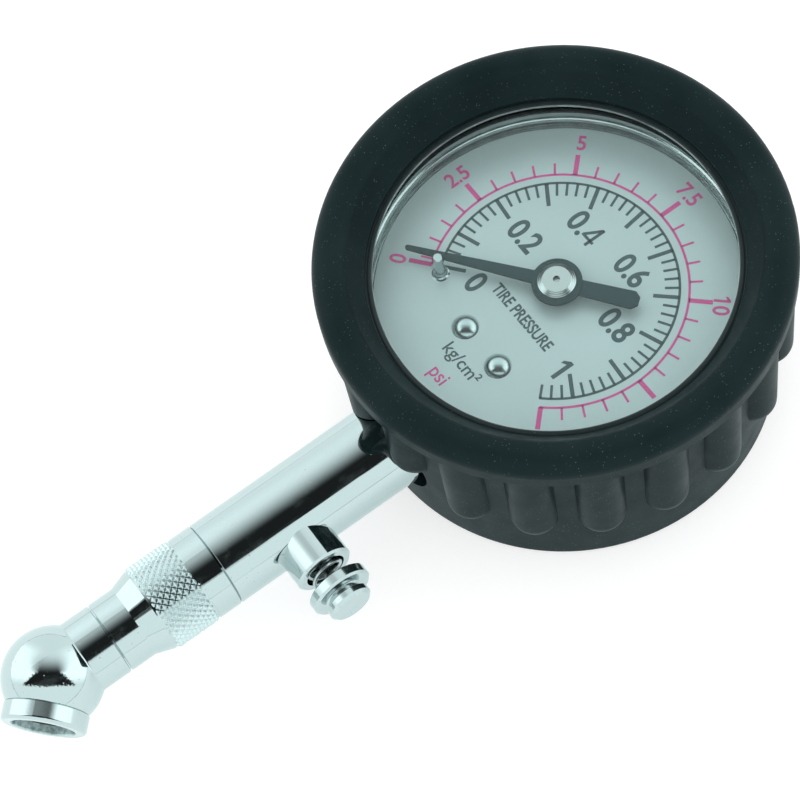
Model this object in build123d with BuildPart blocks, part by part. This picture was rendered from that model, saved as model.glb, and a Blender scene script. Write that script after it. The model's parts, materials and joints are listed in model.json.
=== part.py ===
from build123d import *

import os
from math import acos, cos, degrees, pi, radians, sin, sqrt, tan

os.makedirs("parts", exist_ok=True)

# A dial tyre pressure gauge lying on its back, in millimetres.
# Origin: centre of the flat rubber back. +Z: out through the lens.
# The arm runs along -Y, and +X is the button's side.

# ------------------------------------------------------------ dimensions
TOUCH = 0.02  # air between faces that only just clear each other

# Rubber boot
BOOT_WALL_R = 29.4
BOOT_RIM_R = 32.0
BOOT_FLOOR = 2.0
CREST_R, CREST_CENTRE_R, CREST_CENTRE_Z = 2.6, 29.4, 31.8
RIM_EDGE_Z, RIM_ROOT_Z = 29.5, 27.2
LIP_R, LIP_TOP, LIP_UNDERSIDE = 25.17, 30.2, 29.42
RIB_COUNT, RIB_R, RIB_CENTRE_R, RIB_START_ANGLE = 20, 3.45, 28.15, -80.2
RIB_FOOT_Z, RIB_FOOT_OVER_ARM_Z, RIB_TOP_Z = 12.9, 17.2, 29.6
ARM_HOLE_HALF_WIDTH, ARM_HOLE_HALF_HEIGHT, ARM_HOLE_Z, ARM_GAP = 7.4, 6.85, 11.8, 0.2

# Steel case, lens and dial
CASE_R, CASE_BORE_R = 26.5, 25.7
CASE_BASE, CASE_SHEET, CASE_RIM = 2.05, 0.8, 27.0
BEAD_R, BEAD_Z = 25.28, 23.6
BEZEL_R, BEZEL_BORE_R, BEZEL_SKIRT_Z = 27.3, 24.2, 23.0
LENS_R, LENS_Z, LENS_THICK = 26.4, 27.2, 1.7
DIAL_R, DIAL_TOP, DIAL_THICK = 24.95, 22.39, 0.5
DIAL_BACK = DIAL_TOP - DIAL_THICK
DIAL_SCREWS = [(-3.15, -13.1), (4.25, -13.15)]
STOP_PIN_R, STOP_PIN_ORBIT, STOP_PIN_ANGLE, STOP_PIN_HEIGHT = 0.65, 16.07, 222.8, 4.6

# Pointer
POINTER_ANGLE = 216.6  # at rest, just clear of the stop pin
POINTER_Z, POINTER_SHEET, POINTER_TIP_R = 24.05, 0.4, 21.4
POINTER_HUB_R, POINTER_CAP_R, POINTER_TAIL_R = 3.45, 2.6, 11.35
POINTER_BUSH_R = 1.3

# Movement: a 12-tooth pinion driven by a 72-tooth sector
MODULE, PRESSURE_ANGLE = 0.25, radians(25)
PINION_TEETH, SECTOR_TEETH = 12, 72
MESH_ANGLE = -35.0
PIVOT_R, PIVOT_HOLE_R, ARBOR_R = 0.6, 0.64, 0.9
PLATE_THICK, LOWER_PLATE_Z, UPPER_PLATE_Z = 1.0, 9.0, 16.5
SECTOR_Z, SECTOR_THICK = 12.4, 1.0
LINK_Z, LINK_THICK = 13.6, 0.6
TAIL_LENGTH, TAIL_ANGLE = 3.022, -129.5
PILLARS = [(-4.0, -5.0), (-4.5, 5.5), (12.4, -3.0)]
PLATE_FEET = [(-3.0, -9.3), (3.0, -9.3)]
HAIRSPRING_Z, HAIRSPRING_PITCH, HAIRSPRING_START_R, HAIRSPRING_HALF_TURNS = 14.5, 0.66, 1.55, 10

# Bourdon tube and socket
TUBE_R, TUBE_TALL, TUBE_DEEP, TUBE_WALL, TUBE_Z = 20.3, 9.0, 2.4, 0.3, 12.4
TUBE_TIP_ANGLE, TUBE_SPAN = -25.0, 272.0
TIP_PIN = (15.0, -8.3)
SOCKET_BASE_Z, SOCKET_TOP_Z, LEDGE_Z = 2.85, 17.5, 6.5
STEM_R, STEM_END = 4.5, 36.0

# Arm: distances are measured from the dial's axis, out along -Y
ARM_Z = 12.38
ARM_R, NECK_R = 6.25, 5.26
ARM_START, ARM_END = 26.9, 58.0
SLEEVE_START, KNURL_START, KNURL_END, CONE_END, SLEEVE_END = 58.05, 61.5, 68.6, 71.3, 75.1
KNURL_ROOT_R = 6.08
AIR_R, PASSAGE_R = 2.6, 1.3
SPIGOT_START, SPIGOT_R = 51.2, 4.35
SPINDLE_START, SPINDLE_R, SPINDLE_BORE_R = 64.1, 3.26, 3.3
CLIP_GROOVE_START, CLIP_GROOVE_END = 65.1, 66.0
CHUCK_START, SPINDLE_END, BALL_CENTRE, BALL_R = 75.18, 79.4, 84.16, 7.0

# Chuck mouth: distances are measured from the ball's centre, out through the mouth
MOUTH_BEND, MOUTH_SWIVEL = radians(45), radians(-9)
MOUTH_BORE_R, MOUTH_BORE_START = 4.2, 2.0
MOUTH_RING_R, MOUTH_RING_START, MOUTH_RING_END = 5.78, 4.25, 6.85
SPIGOT_END, MOUTH_SPIGOT_R = 5.58, 5.0

# Release button: distances are measured from the arm's axis, out along +X
BUTTON_Y = -46.77
BOSS_R, BOSS_FACE, BOSS_BORE_R, SEAT_BACK, SEAT_FACE = 4.15, 9.9, 2.95, 3.42, 5.0
BUTTON_BACK, BUTTON_FLANGE_R, BUTTON_CAP_R, BUTTON_END = 12.39, 4.38, 3.15, 16.3
BLEED_STEM_R, BLEED_FLANGE_R = 0.85, 1.75
BUTTON_SPRING_R, BUTTON_WIRE_R, BUTTON_SPRING_TURNS = 2.3, 0.28, 4

# ------------------------------------------------------------ planes and axes
ARM_AXIS = Axis((0, 0, ARM_Z), (0, -1, 0))
ARM_SECTION = Plane(origin=(0, 0, ARM_Z), x_dir=(0, -1, 0), z_dir=(-1, 0, 0))
BUTTON_AXIS = Axis((0, BUTTON_Y, ARM_Z), (1, 0, 0))
BUTTON_SECTION = Plane(origin=(0, BUTTON_Y, ARM_Z), x_dir=(1, 0, 0), z_dir=(0, -1, 0))
BALL_POINT = Vector(0, -BALL_CENTRE, ARM_Z)
MOUTH_DIRECTION = Vector(
    sin(MOUTH_BEND) * cos(MOUTH_SWIVEL),
    -cos(MOUTH_BEND),
    sin(MOUTH_BEND) * sin(MOUTH_SWIVEL),
)
MOUTH_AXIS = Axis(BALL_POINT, MOUTH_DIRECTION)
MOUTH_SECTION = Plane(
    origin=BALL_POINT,
    x_dir=MOUTH_DIRECTION,
    z_dir=MOUTH_DIRECTION.cross(Vector(0, 0, 1)),
)


def arm_plane(distance):
    """Plane across the arm, facing out along -Y."""
    return Plane(origin=(0, -distance, ARM_Z), x_dir=(1, 0, 0), z_dir=(0, -1, 0))


def mouth_plane(distance):
    """Plane across the chuck's mouth, facing out of it."""
    return Plane(
        origin=BALL_POINT + MOUTH_DIRECTION * distance,
        x_dir=MOUTH_SECTION.z_dir,
        z_dir=MOUTH_DIRECTION,
    )


def polar(radius, angle, centre=(0, 0)):
    """Point at a radius and an angle in degrees round a centre."""
    return (
        centre[0] + radius * cos(radians(angle)),
        centre[1] + radius * sin(radians(angle)),
    )


def half_section(plane, *points):
    """Closed outline of (distance, radius) or (radius, height) points, to be revolved."""
    with BuildSketch(plane) as outline:
        with BuildLine():
            Polyline(*points, close=True)
        make_face()
    return outline.sketch


def screw(head_r, head_height, shank_r, shank_length):
    """Dome-headed screw, its head on the XY plane and its shank below."""
    dome_r = (head_r**2 + head_height**2) / (2 * head_height)
    middle_r = 0.6 * head_r
    middle_z = head_height - dome_r + sqrt(dome_r**2 - middle_r**2)
    with BuildPart() as body:
        with BuildSketch(Plane.XZ):
            with BuildLine():
                Polyline(
                    (0, head_height),
                    (0, -shank_length),
                    (shank_r, -shank_length),
                    (shank_r, 0),
                    (head_r, 0),
                )
                ThreePointArc((head_r, 0), (middle_r, middle_z), (0, head_height))
            make_face()
        revolve(axis=Axis.Z)
    return body.part


def coil(mean_r, wire_r, length, turns):
    """Round-wire coil spring that stands on the XY plane, round Z."""
    rise = length - 2 * wire_r
    with BuildPart() as spring:
        with BuildLine():
            wire = Helix(pitch=rise / turns, height=rise, radius=mean_r, center=(0, 0, wire_r))
        with BuildSketch(Plane(origin=wire @ 0, z_dir=wire % 0)):
            Circle(wire_r)
        sweep(is_frenet=True)
    return spring.part


def tooth_points(teeth, centre, middle_angle):
    """Involute outline of one external gear tooth, thinned a little for backlash, root to root."""
    pitch_r = MODULE * teeth / 2
    base_r = pitch_r * cos(PRESSURE_ANGLE)
    root_r = pitch_r - 1.25 * MODULE
    half_tooth = 0.88 * pi / (2 * teeth) + tan(PRESSURE_ANGLE) - PRESSURE_ANGLE
    flank = []
    for step in range(5):
        radius = max(base_r, root_r) + (pitch_r + MODULE - max(base_r, root_r)) * step / 4
        roll = acos(base_r / radius)
        flank.append((radius, degrees(half_tooth - (tan(roll) - roll))))
    if root_r < base_r:
        flank.insert(0, (root_r, flank[0][1]))
    clockwise = [polar(radius, middle_angle - half, centre) for radius, half in flank]
    anticlockwise = [polar(radius, middle_angle + half, centre) for radius, half in reversed(flank)]
    return clockwise + anticlockwise


# ------------------------------------------------------------ rubber boot
with BuildPart() as rubber_boot:
    with BuildSketch(Plane.XZ):
        with BuildLine():
            edge_r = 1.5
            crest_middle = polar(CREST_R, 72, (CREST_CENTRE_R, CREST_CENTRE_Z))
            crest_inner = polar(CREST_R, 145, (CREST_CENTRE_R, CREST_CENTRE_Z))
            Line((0, 0), (BOOT_WALL_R - edge_r, 0))
            TangentArc((BOOT_WALL_R - edge_r, 0), (BOOT_WALL_R, edge_r), tangent=(1, 0))
            Line((BOOT_WALL_R, edge_r), (BOOT_WALL_R, RIM_ROOT_Z))
            Line((BOOT_WALL_R, RIM_ROOT_Z), (BOOT_RIM_R - 0.3, RIM_EDGE_Z))
            Line((BOOT_RIM_R - 0.3, RIM_EDGE_Z), (BOOT_RIM_R, RIM_EDGE_Z + 0.25))
            Line((BOOT_RIM_R, RIM_EDGE_Z + 0.25), (BOOT_RIM_R, CREST_CENTRE_Z))
            ThreePointArc((BOOT_RIM_R, CREST_CENTRE_Z), crest_middle, crest_inner)
            Line(crest_inner, (LIP_R + 0.1, LIP_TOP))
            Polyline((LIP_R + 0.1, LIP_TOP), (LIP_R, LIP_TOP - 0.08), (LIP_R, LIP_UNDERSIDE))
            Polyline((LIP_R, LIP_UNDERSIDE), (0, LIP_UNDERSIDE), (0, 0))
        make_face()
    revolve(axis=Axis.Z)
    with BuildSketch(arm_plane(CASE_R - 1)):
        with Locations((0, ARM_HOLE_Z - ARM_Z)):
            Ellipse(ARM_HOLE_HALF_WIDTH, ARM_HOLE_HALF_HEIGHT)
    extrude(amount=10, mode=Mode.SUBTRACT)
    for number in range(RIB_COUNT):
        rib_angle = RIB_START_ANGLE + 360 / RIB_COUNT * number
        foot_z = RIB_FOOT_OVER_ARM_Z if number in (0, RIB_COUNT - 1) else RIB_FOOT_Z
        with Locations((*polar(RIB_CENTRE_R, rib_angle), foot_z)):
            Sphere(RIB_R)
            Cylinder(RIB_R, RIB_TOP_Z - foot_z, align=(Align.CENTER, Align.CENTER, Align.MIN))
    # The cavity that holds the case, wider where the bezel ring sits
    revolve(
        half_section(
            Plane.XZ,
            (0, BOOT_FLOOR),
            (CASE_R + 0.05, BOOT_FLOOR),
            (CASE_R + 0.05, BEZEL_SKIRT_Z - 0.4),
            (BEZEL_R + 0.05, BEZEL_SKIRT_Z - 0.4),
            (BEZEL_R + 0.05, LIP_UNDERSIDE),
            (LIP_R, LIP_UNDERSIDE),
            (LIP_R, LIP_TOP + 0.5),
            (0, LIP_TOP + 0.5),
        ),
        axis=Axis.Z,
        mode=Mode.SUBTRACT,
    )
    # The two ribs beside the arm hang over its hole and are cut round the arm
    with BuildSketch(arm_plane(CASE_R - 3)):
        Circle(ARM_R + ARM_GAP)
    extrude(amount=12, mode=Mode.SUBTRACT)

# ------------------------------------------------------------ case and lens
CASE_SCREWS = [(-3.2, -19.5), (3.2, -19.5)]

with BuildPart() as case_cup:
    revolve(
        half_section(Plane.XZ, (0, CASE_BASE), (CASE_R, CASE_BASE), (CASE_R, CASE_RIM), (0, CASE_RIM)),
        axis=Axis.Z,
    )
    fillet(case_cup.edges().group_by(Axis.Z)[0], 1.5)
    with BuildSketch(Plane.XY.offset(CASE_BASE + CASE_SHEET)):
        Circle(CASE_BORE_R)
    extrude(amount=CASE_RIM, mode=Mode.SUBTRACT)
    # Ledge level with the dial, and a rolled bead above it
    with BuildSketch(Plane.XZ):
        wall = CASE_BORE_R + CASE_SHEET / 2
        with BuildLine():
            Polyline((wall, BEAD_Z + 0.6), (wall, DIAL_BACK), (DIAL_R + 0.07, DIAL_BACK))
            Polyline((DIAL_R + 0.07, DIAL_BACK), (DIAL_R + 0.07, DIAL_TOP + 0.1), (CASE_BORE_R, DIAL_TOP + 0.1))
            Line((CASE_BORE_R, DIAL_TOP + 0.1), (CASE_BORE_R, BEAD_Z - 0.6))
            ThreePointArc((CASE_BORE_R, BEAD_Z - 0.6), (BEAD_R, BEAD_Z), (CASE_BORE_R, BEAD_Z + 0.6))
            Line((CASE_BORE_R, BEAD_Z + 0.6), (wall, BEAD_Z + 0.6))
        make_face()
    revolve(axis=Axis.Z)
    with BuildSketch(arm_plane(CASE_BORE_R - 2)):
        Circle(STEM_R + 0.1)
    extrude(amount=5, mode=Mode.SUBTRACT)
    with Locations(*[(x, y, CASE_BASE) for x, y in CASE_SCREWS]):
        Cylinder(1.3, 3, mode=Mode.SUBTRACT)

with BuildPart() as bezel_ring:
    skirt_bore = CASE_R + 0.03
    revolve(
        half_section(
            Plane.XZ,
            (skirt_bore, BEZEL_SKIRT_Z),
            (BEZEL_R, BEZEL_SKIRT_Z),
            (BEZEL_R, LIP_UNDERSIDE - 0.3),
            (BEZEL_R - 0.27, LIP_UNDERSIDE - TOUCH),
            (BEZEL_BORE_R + 0.8, LIP_UNDERSIDE - TOUCH),
            (BEZEL_BORE_R + 0.55, LIP_UNDERSIDE + 0.2),
            (BEZEL_BORE_R + 0.2, LIP_UNDERSIDE + 0.3),
            (BEZEL_BORE_R, LIP_UNDERSIDE + 0.22),
            (BEZEL_BORE_R, LIP_UNDERSIDE - 0.12),
            (BEZEL_BORE_R + 0.3, LIP_UNDERSIDE - 0.27),
            (BEZEL_BORE_R + 0.3, LENS_Z + LENS_THICK + TOUCH),
            (skirt_bore, LENS_Z + LENS_THICK + TOUCH),
        ),
        axis=Axis.Z,
    )

with BuildPart() as lens_gasket:
    gasket_r, gasket_skirt_z = 25.2, 26.1
    revolve(
        half_section(
            Plane.XZ,
            (gasket_r, gasket_skirt_z),
            (CASE_BORE_R - 0.05, gasket_skirt_z),
            (CASE_BORE_R - 0.05, CASE_RIM),
            (LENS_R, CASE_RIM),
            (LENS_R, LENS_Z),
            (gasket_r, LENS_Z),
        ),
        axis=Axis.Z,
    )

with BuildPart() as lens:
    with BuildSketch(Plane.XY.offset(LENS_Z)):
        Circle(LENS_R)
    extrude(amount=LENS_THICK)
    chamfer(lens.edges(), 0.2)

# ------------------------------------------------------------ dial
STOP_PIN_POINT = polar(STOP_PIN_ORBIT, STOP_PIN_ANGLE)

with BuildPart() as dial_plate:
    with BuildSketch(Plane.XY.offset(DIAL_BACK)):
        Circle(DIAL_R)
        Circle(1.2, mode=Mode.SUBTRACT)
        with Locations(*DIAL_SCREWS):
            Circle(1.05, mode=Mode.SUBTRACT)
        with Locations(STOP_PIN_POINT):
            Circle(STOP_PIN_R, mode=Mode.SUBTRACT)
    extrude(amount=DIAL_THICK)

with BuildPart() as dial_screws:
    with Locations(*[(x, y, DIAL_TOP) for x, y in DIAL_SCREWS]):
        add(screw(1.86, 0.95, 1.0, 3.5))

with BuildPart() as stop_pin:
    flare_r, flare_height = 1.25, 0.8
    with BuildSketch(Plane(origin=(*STOP_PIN_POINT, DIAL_TOP), x_dir=(1, 0, 0), z_dir=(0, -1, 0))):
        with BuildLine():
            Polyline(
                (STOP_PIN_R - 0.08, STOP_PIN_HEIGHT),
                (0, STOP_PIN_HEIGHT),
                (0, -DIAL_THICK),
                (STOP_PIN_R, -DIAL_THICK),
                (STOP_PIN_R, 0),
                (flare_r, 0),
            )
            ThreePointArc((flare_r, 0), (STOP_PIN_R + 0.18, 0.27), (STOP_PIN_R, flare_height))
            Line((STOP_PIN_R, flare_height), (STOP_PIN_R, STOP_PIN_HEIGHT - 0.08))
            Line((STOP_PIN_R, STOP_PIN_HEIGHT - 0.08), (STOP_PIN_R - 0.08, STOP_PIN_HEIGHT))
        make_face()
    revolve(axis=Axis((*STOP_PIN_POINT, 0), (0, 0, 1)))

# ------------------------------------------------------------ pointer
POINTER_DIRECTION = (*polar(1, POINTER_ANGLE), 0)
POINTER_HUB_TOP = POINTER_Z + POINTER_SHEET + 0.15

with BuildPart() as pointer:
    with BuildSketch(Plane(origin=(0, 0, POINTER_Z), x_dir=POINTER_DIRECTION, z_dir=(0, 0, 1))):
        with BuildLine():
            tip_r = 0.35
            Line((0, -1.05), (POINTER_TIP_R - tip_r, -tip_r))
            ThreePointArc((POINTER_TIP_R - tip_r, -tip_r), (POINTER_TIP_R, 0), (POINTER_TIP_R - tip_r, tip_r))
            Line((POINTER_TIP_R - tip_r, tip_r), (0, 1.05))
            Polyline((0, 1.05), (-POINTER_TAIL_R + 0.75, 1.3), (-POINTER_TAIL_R, 0.6))
            Polyline((-POINTER_TAIL_R, 0.6), (-POINTER_TAIL_R, -0.6), (-POINTER_TAIL_R + 0.75, -1.3), (0, -1.05))
        make_face()
        Circle(POINTER_BUSH_R, mode=Mode.SUBTRACT)
    extrude(amount=POINTER_SHEET)
    with BuildSketch(Plane.XY.offset(POINTER_Z)):
        Circle(POINTER_HUB_R)
        Circle(POINTER_BUSH_R, mode=Mode.SUBTRACT)
    extrude(amount=POINTER_HUB_TOP - POINTER_Z)

with BuildPart() as pointer_cap:
    cap_top = POINTER_HUB_TOP + 0.63
    revolve(
        half_section(
            Plane.XZ,
            (PIVOT_R, POINTER_Z - 1.15),
            (POINTER_BUSH_R, POINTER_Z - 1.15),
            (POINTER_BUSH_R, POINTER_HUB_TOP),
            (POINTER_CAP_R, POINTER_HUB_TOP),
            (POINTER_CAP_R, POINTER_HUB_TOP + 0.2),
            (POINTER_CAP_R - 0.65, cap_top),
            (0.5, cap_top),
            (0.5, cap_top - 0.45),
            (PIVOT_R, cap_top - 0.45),
        ),
        axis=Axis.Z,
    )

# ------------------------------------------------------------ movement
PINION_PITCH_R = MODULE * PINION_TEETH / 2
SECTOR_PITCH_R = MODULE * SECTOR_TEETH / 2
SECTOR_POINT = polar(PINION_PITCH_R + SECTOR_PITCH_R, MESH_ANGLE)
TAIL_POINT = polar(TAIL_LENGTH, TAIL_ANGLE, SECTOR_POINT)
TOOTH_STEP = 360 / SECTOR_TEETH
LOWER_PLATE_TOP = LOWER_PLATE_Z + PLATE_THICK
UPPER_PLATE_TOP = UPPER_PLATE_Z + PLATE_THICK


def arbor_section(point, top):
    """Outline of a shouldered arbor that runs in both plates."""
    return half_section(
        Plane(origin=(*point, 0), x_dir=(1, 0, 0), z_dir=(0, -1, 0)),
        (0, LOWER_PLATE_Z - 0.3),
        (PIVOT_R, LOWER_PLATE_Z - 0.3),
        (PIVOT_R, LOWER_PLATE_TOP + TOUCH),
        (ARBOR_R, LOWER_PLATE_TOP + TOUCH),
        (ARBOR_R, UPPER_PLATE_Z - TOUCH),
        (PIVOT_R, UPPER_PLATE_Z - TOUCH),
        (PIVOT_R, top),
        (0, top),
    )


def movement_plate(z, feet):
    """Brass plate round the arbors and pillars, with its bearing and screw holes."""
    with BuildPart() as plate:
        with BuildSketch(Plane.XY.offset(z)):
            with Locations((0, 0)):
                Circle(3.2)
            with Locations(SECTOR_POINT):
                Circle(2.6)
            with Locations(*PILLARS):
                Circle(2.2)
            with Locations(*feet):
                Circle(1.6)
            make_hull()
            with Locations((0, 0), SECTOR_POINT):
                Circle(PIVOT_HOLE_R, mode=Mode.SUBTRACT)
            with Locations(*PILLARS):
                Circle(0.7, mode=Mode.SUBTRACT)
            with Locations(*feet):
                Circle(0.8, mode=Mode.SUBTRACT)
        extrude(amount=PLATE_THICK)
    return plate.part


with BuildPart() as pinion_arbor:
    revolve(arbor_section((0, 0), cap_top - 0.5), axis=Axis.Z)
    with BuildSketch(Plane.XY.offset(SECTOR_Z - 0.5)):
        outline = []
        for number in range(PINION_TEETH):
            outline += tooth_points(PINION_TEETH, (0, 0), MESH_ANGLE + 360 / PINION_TEETH * (number + 0.5))
        with BuildLine():
            Polyline(*outline, close=True)
        make_face()
    extrude(amount=SECTOR_THICK + 1)

with BuildPart() as sector_gear:
    with BuildSketch(Plane.XY.offset(SECTOR_Z)):
        outline = [SECTOR_POINT]
        for number in range(-11, 3):
            outline += tooth_points(SECTOR_TEETH, SECTOR_POINT, MESH_ANGLE + 180 + TOOTH_STEP * number)
        with BuildLine():
            Polyline(*outline, close=True)
        make_face()
        with Locations(SECTOR_POINT):
            Circle(2.0)
        sector_hub = Edge.make_circle(1.5, Plane((*SECTOR_POINT, 0)))
        tail_hub = Edge.make_circle(1.1, Plane((*TAIL_POINT, 0)))
        make_hull([sector_hub, tail_hub])
        with Locations(polar(5.6, MESH_ANGLE + 180 - 4.5 * TOOTH_STEP, SECTOR_POINT)):
            Circle(1.5, mode=Mode.SUBTRACT)
        with Locations(SECTOR_POINT):
            Circle(ARBOR_R, mode=Mode.SUBTRACT)
        with Locations(TAIL_POINT):
            Circle(0.5, mode=Mode.SUBTRACT)
    extrude(amount=SECTOR_THICK)

with BuildPart() as sector_arbor:
    revolve(
        arbor_section(SECTOR_POINT, UPPER_PLATE_TOP + 0.3),
        axis=Axis((*SECTOR_POINT, 0), (0, 0, 1)),
    )

with BuildPart() as tail_pin:
    with BuildSketch(Plane.XY.offset(SECTOR_Z)):
        with Locations(TAIL_POINT):
            Circle(0.5)
    extrude(amount=LINK_Z + LINK_THICK + 0.1 - SECTOR_Z)
    with BuildSketch(Plane.XY.offset(LINK_Z + LINK_THICK + 0.1)):
        with Locations(TAIL_POINT):
            Circle(0.95)
    extrude(amount=0.3)

with BuildPart() as connecting_link:
    with BuildSketch(Plane.XY.offset(LINK_Z)):
        make_hull([Edge.make_circle(1.25, Plane((*point, 0))) for point in (TIP_PIN, TAIL_POINT)])
        with Locations(TIP_PIN):
            Circle(0.54, mode=Mode.SUBTRACT)
        # The open pivot: room for the link's small error between its two ends
        with Locations(TAIL_POINT):
            Circle(0.74, mode=Mode.SUBTRACT)
    extrude(amount=LINK_THICK)

with BuildPart() as hairspring_collet:
    with BuildSketch(Plane.XY.offset(HAIRSPRING_Z - 0.2)):
        Circle(HAIRSPRING_START_R - 0.09)
        Circle(ARBOR_R, mode=Mode.SUBTRACT)
    extrude(amount=1.3)

with BuildPart() as hairspring:
    with BuildSketch(Plane.XY.offset(HAIRSPRING_Z)):
        with BuildLine():
            for number in range(HAIRSPRING_HALF_TURNS):
                side = number % 2
                CenterArc(
                    center=(side * HAIRSPRING_PITCH / 2, 0),
                    radius=HAIRSPRING_START_R + number * HAIRSPRING_PITCH / 2,
                    start_angle=180 * side,
                    arc_size=180,
                )
        trace(line_width=0.14)
    extrude(amount=0.9)

with BuildPart() as hairspring_stud:
    stud_r = 0.45
    spring_end = HAIRSPRING_START_R + HAIRSPRING_HALF_TURNS * HAIRSPRING_PITCH / 2
    with BuildSketch(Plane.XY.offset(HAIRSPRING_Z - 0.2)):
        with Locations((spring_end + 0.09 + stud_r, 0)):
            Circle(stud_r)
    extrude(amount=UPPER_PLATE_Z - HAIRSPRING_Z + 0.2)

with BuildPart() as movement_lower_plate:
    add(movement_plate(LOWER_PLATE_Z, PLATE_FEET))

with BuildPart() as movement_upper_plate:
    add(movement_plate(UPPER_PLATE_Z, []))

with BuildPart() as movement_pillars:
    with BuildSketch(Plane.XY.offset(LOWER_PLATE_TOP)):
        with Locations(*PILLARS):
            Circle(1.3)
            Circle(0.7, mode=Mode.SUBTRACT)
    extrude(amount=UPPER_PLATE_Z - LOWER_PLATE_TOP)

with BuildPart() as pillar_screws:
    with Locations(*[(x, y, UPPER_PLATE_TOP) for x, y in PILLARS]):
        add(screw(1.2, 0.6, 0.65, 4.5))

with BuildPart() as movement_screws:
    with Locations(*[(x, y, LOWER_PLATE_TOP) for x, y in PLATE_FEET]):
        add(screw(1.3, 0.6, 0.75, 3.0))

# ------------------------------------------------------------ pressure element
TUBE_ROOT_ANGLE = TUBE_TIP_ANGLE + TUBE_SPAN
TIP_AXIS_X = (*polar(1, TUBE_TIP_ANGLE), 0)
TIP_AXIS_Z = (*polar(1, TUBE_TIP_ANGLE - 90), 0)

with BuildPart() as bourdon_tube:
    with BuildSketch(Plane(origin=(0, 0, 0), x_dir=TIP_AXIS_X, z_dir=TIP_AXIS_Z)):
        with Locations((TUBE_R, TUBE_Z)):
            SlotOverall(TUBE_TALL, TUBE_DEEP, rotation=90)
            SlotOverall(TUBE_TALL - 2 * TUBE_WALL, TUBE_DEEP - 2 * TUBE_WALL, rotation=90, mode=Mode.SUBTRACT)
    revolve(axis=Axis.Z, revolution_arc=TUBE_SPAN)

with BuildPart() as tube_tip:
    tip_angle = 8.0
    with BuildSketch(Plane(origin=(0, 0, 0), x_dir=TIP_AXIS_X, z_dir=TIP_AXIS_Z)):
        with Locations((TUBE_R, TUBE_Z)):
            RectangleRounded(TUBE_DEEP + 0.6, TUBE_TALL + 0.4, 1.0)
    revolve(axis=Axis.Z, revolution_arc=-tip_angle)
    with BuildSketch(Plane.XY.offset(SECTOR_Z + 0.55)):
        make_hull(
            [
                Edge.make_circle(1.2, Plane((*TIP_PIN, 0))),
                Edge.make_circle(0.9, Plane((*polar(TUBE_R - 0.6, TUBE_TIP_ANGLE - 4), 0))),
            ]
        )
        with Locations(TIP_PIN):
            Circle(0.5, mode=Mode.SUBTRACT)
    extrude(amount=0.55)

with BuildPart() as tip_pin:
    with BuildSketch(Plane.XY.offset(SECTOR_Z + 0.4)):
        with Locations(TIP_PIN):
            Circle(0.5)
    extrude(amount=LINK_Z + LINK_THICK + 0.1 - SECTOR_Z - 0.4)
    with BuildSketch(Plane.XY.offset(LINK_Z + LINK_THICK + 0.1)):
        with Locations(TIP_PIN):
            Circle(0.85)
    extrude(amount=0.3)

with BuildPart() as socket_block:
    with BuildSketch(Plane.XY.offset(SOCKET_BASE_Z)):
        with BuildLine():
            Polyline(
                (6.0, -15.0),
                (6.0, -24.0),
                (-7.5, -24.0),
                polar(24.6, TUBE_ROOT_ANGLE),
                polar(16.0, TUBE_ROOT_ANGLE),
                close=True,
            )
        make_face()
    extrude(amount=SOCKET_TOP_Z - SOCKET_BASE_Z)
    with BuildSketch(Plane.XY.offset(LEDGE_Z)):
        with Locations((0, -12.0)):
            Rectangle(12.0, 8.0)
    extrude(amount=LOWER_PLATE_Z - LEDGE_Z)
    with BuildSketch(Plane.XY.offset(LEDGE_Z)):
        with Locations(*DIAL_SCREWS):
            Circle(1.9)
    extrude(amount=DIAL_BACK - LEDGE_Z)
    with BuildSketch(arm_plane(20.0)):
        Circle(STEM_R)
    extrude(amount=STEM_END - 20.0)
    with BuildSketch(arm_plane(STEM_END)):
        Circle(PASSAGE_R)
    extrude(amount=-(STEM_END - 21.5), mode=Mode.SUBTRACT)
    root_x, root_y = polar(TUBE_R, TUBE_ROOT_ANGLE)
    inward_x, inward_y = polar(1, TUBE_ROOT_ANGLE + 90)
    with BuildSketch(Plane(origin=(root_x, root_y, ARM_Z), z_dir=(-inward_x, -inward_y, 0))):
        Circle(0.85)
    extrude(amount=8.8, mode=Mode.SUBTRACT)
    with Locations(*[(x, y, DIAL_BACK - 3.2) for x, y in DIAL_SCREWS]):
        Cylinder(1.0, 3.2, align=(Align.CENTER, Align.CENTER, Align.MIN), mode=Mode.SUBTRACT)
    with Locations(*[(x, y, LOWER_PLATE_Z - 2.2) for x, y in PLATE_FEET]):
        Cylinder(0.75, 2.2, align=(Align.CENTER, Align.CENTER, Align.MIN), mode=Mode.SUBTRACT)
    with Locations(*[(x, y, SOCKET_BASE_Z) for x, y in CASE_SCREWS]):
        Cylinder(1.2, 4.6, align=(Align.CENTER, Align.CENTER, Align.MIN), mode=Mode.SUBTRACT)

with BuildPart() as case_screws:
    with BuildSketch(Plane.XY.offset(CASE_BASE)):
        with Locations(*CASE_SCREWS):
            Circle(1.18)
    extrude(amount=4.8)

with BuildPart() as stem_washer:
    with BuildSketch(arm_plane(STEM_END + TOUCH)):
        Circle(STEM_R)
        Circle(PASSAGE_R + 0.3, mode=Mode.SUBTRACT)
    extrude(amount=0.9)

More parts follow.
